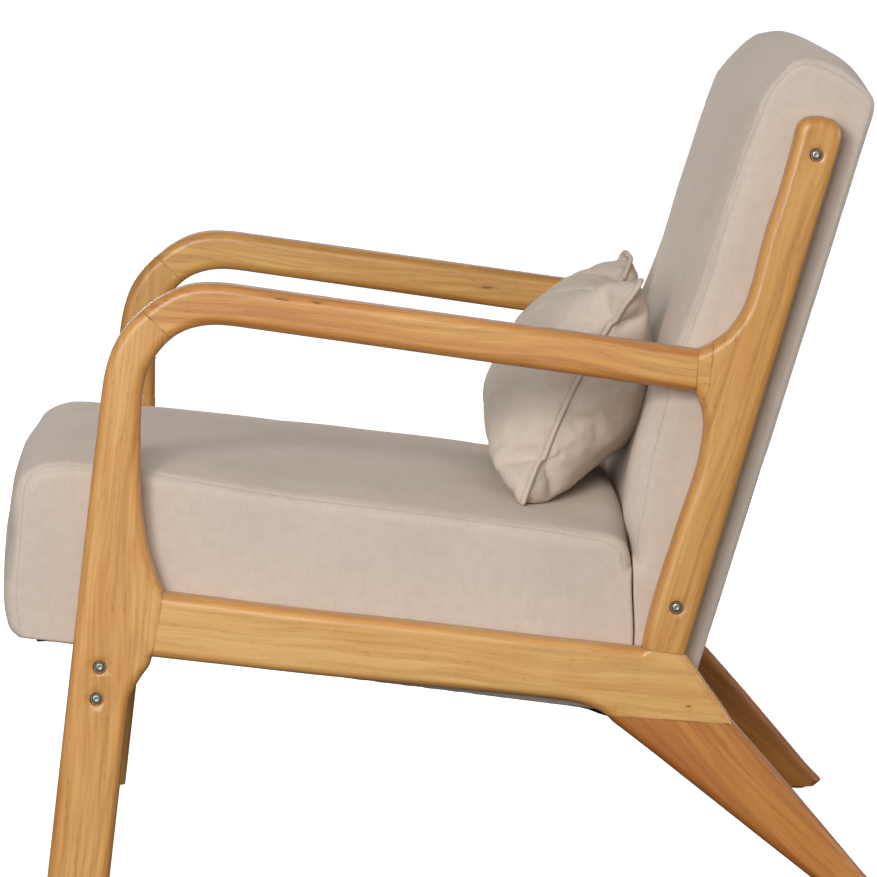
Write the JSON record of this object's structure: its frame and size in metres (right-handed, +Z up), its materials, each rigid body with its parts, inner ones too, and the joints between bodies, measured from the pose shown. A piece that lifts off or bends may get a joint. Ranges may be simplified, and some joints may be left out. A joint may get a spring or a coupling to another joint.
{
  "type": "lounge armchair",
  "caption": "Wooden-framed lounge armchair with an upholstered sprung seat, a leaning padded back and a loose piped lumbar pillow between open arms.",
  "frame": {"origin": "on the floor, at the bottom centre of the bounding box: midway across the chair and midway from front to rear", "axes": "+X across the chair to the sitter's left, +Y to the rear, +Z up; the sitter faces -Y"},
  "size_m": [0.655, 0.824, 0.788],
  "materials": {
    "frame_wood": "satin clear lacquer",
    "arm_wood": "satin clear lacquer",
    "rear_leg_wood": "satin clear lacquer",
    "dowel_wood": "plain beech",
    "stretcher_wood": "satin clear lacquer",
    "plain_softwood": "sawn, unfinished",
    "hardboard": "pressed board",
    "bolt_steel": "zinc plated",
    "spring_steel": "oiled wire",
    "glide_plastic": "matte black",
    "cover_fabric": "woven, slubbed linen look",
    "black_cloth": "non-woven",
    "webbing": "woven elastic strap",
    "foam": "polyurethane foam",
    "fill": "polyester fibre fill"
  },
  "bodies": {
    "chair": {"front_leg_left": "frame_wood", "front_leg_right": "frame_wood", "arm_left": "arm_wood", "arm_right": "arm_wood", "post_block_left": "frame_wood", "post_block_right": "frame_wood", "back_post_left": "frame_wood", "back_post_right": "frame_wood", "side_rail_left": "frame_wood", "side_rail_right": "frame_wood", "rear_leg_left": "rear_leg_wood", "rear_leg_right": "rear_leg_wood", "frame_dowels_left": "dowel_wood", "frame_dowels_right": "dowel_wood", "foot_glides": "glide_plastic", "front_stretcher": "stretcher_wood", "front_bolts": "bolt_steel", "barrel_nuts": "bolt_steel", "back_bolts": "bolt_steel", "back_tnuts": "bolt_steel", "seat_front_rail": "plain_softwood", "seat_rear_rail": "plain_softwood", "seat_side_rail_left": "plain_softwood", "seat_side_rail_right": "plain_softwood", "seat_bearer": "plain_softwood", "seat_corner_blocks": "plain_softwood", "seat_springs": "spring_steel", "spring_clips": "bolt_steel", "seat_deck": "black_cloth", "seat_foam": "foam", "seat_cover": "cover_fabric", "dust_cover": "black_cloth", "seat_screws": "bolt_steel", "back_stile_left": "plain_softwood", "back_stile_right": "plain_softwood", "back_top_rail": "plain_softwood", "back_bottom_rail": "plain_softwood", "back_lumbar_rail": "plain_softwood", "back_webbing": "webbing", "back_panel": "hardboard", "back_foam": "foam", "back_cover": "cover_fabric", "joining_plates": "bolt_steel", "plate_screws": "bolt_steel"},
    "pillow": {"pillow_cover": "cover_fabric", "pillow_piping": "cover_fabric", "pillow_insert": "fill"}
  },
  "joints": [
    {"name": "pillow_lift", "type": "slide", "parent": "chair", "child": "pillow", "axis": [0, 0, 1], "range_m": [0, 0.45]}
  ]
}
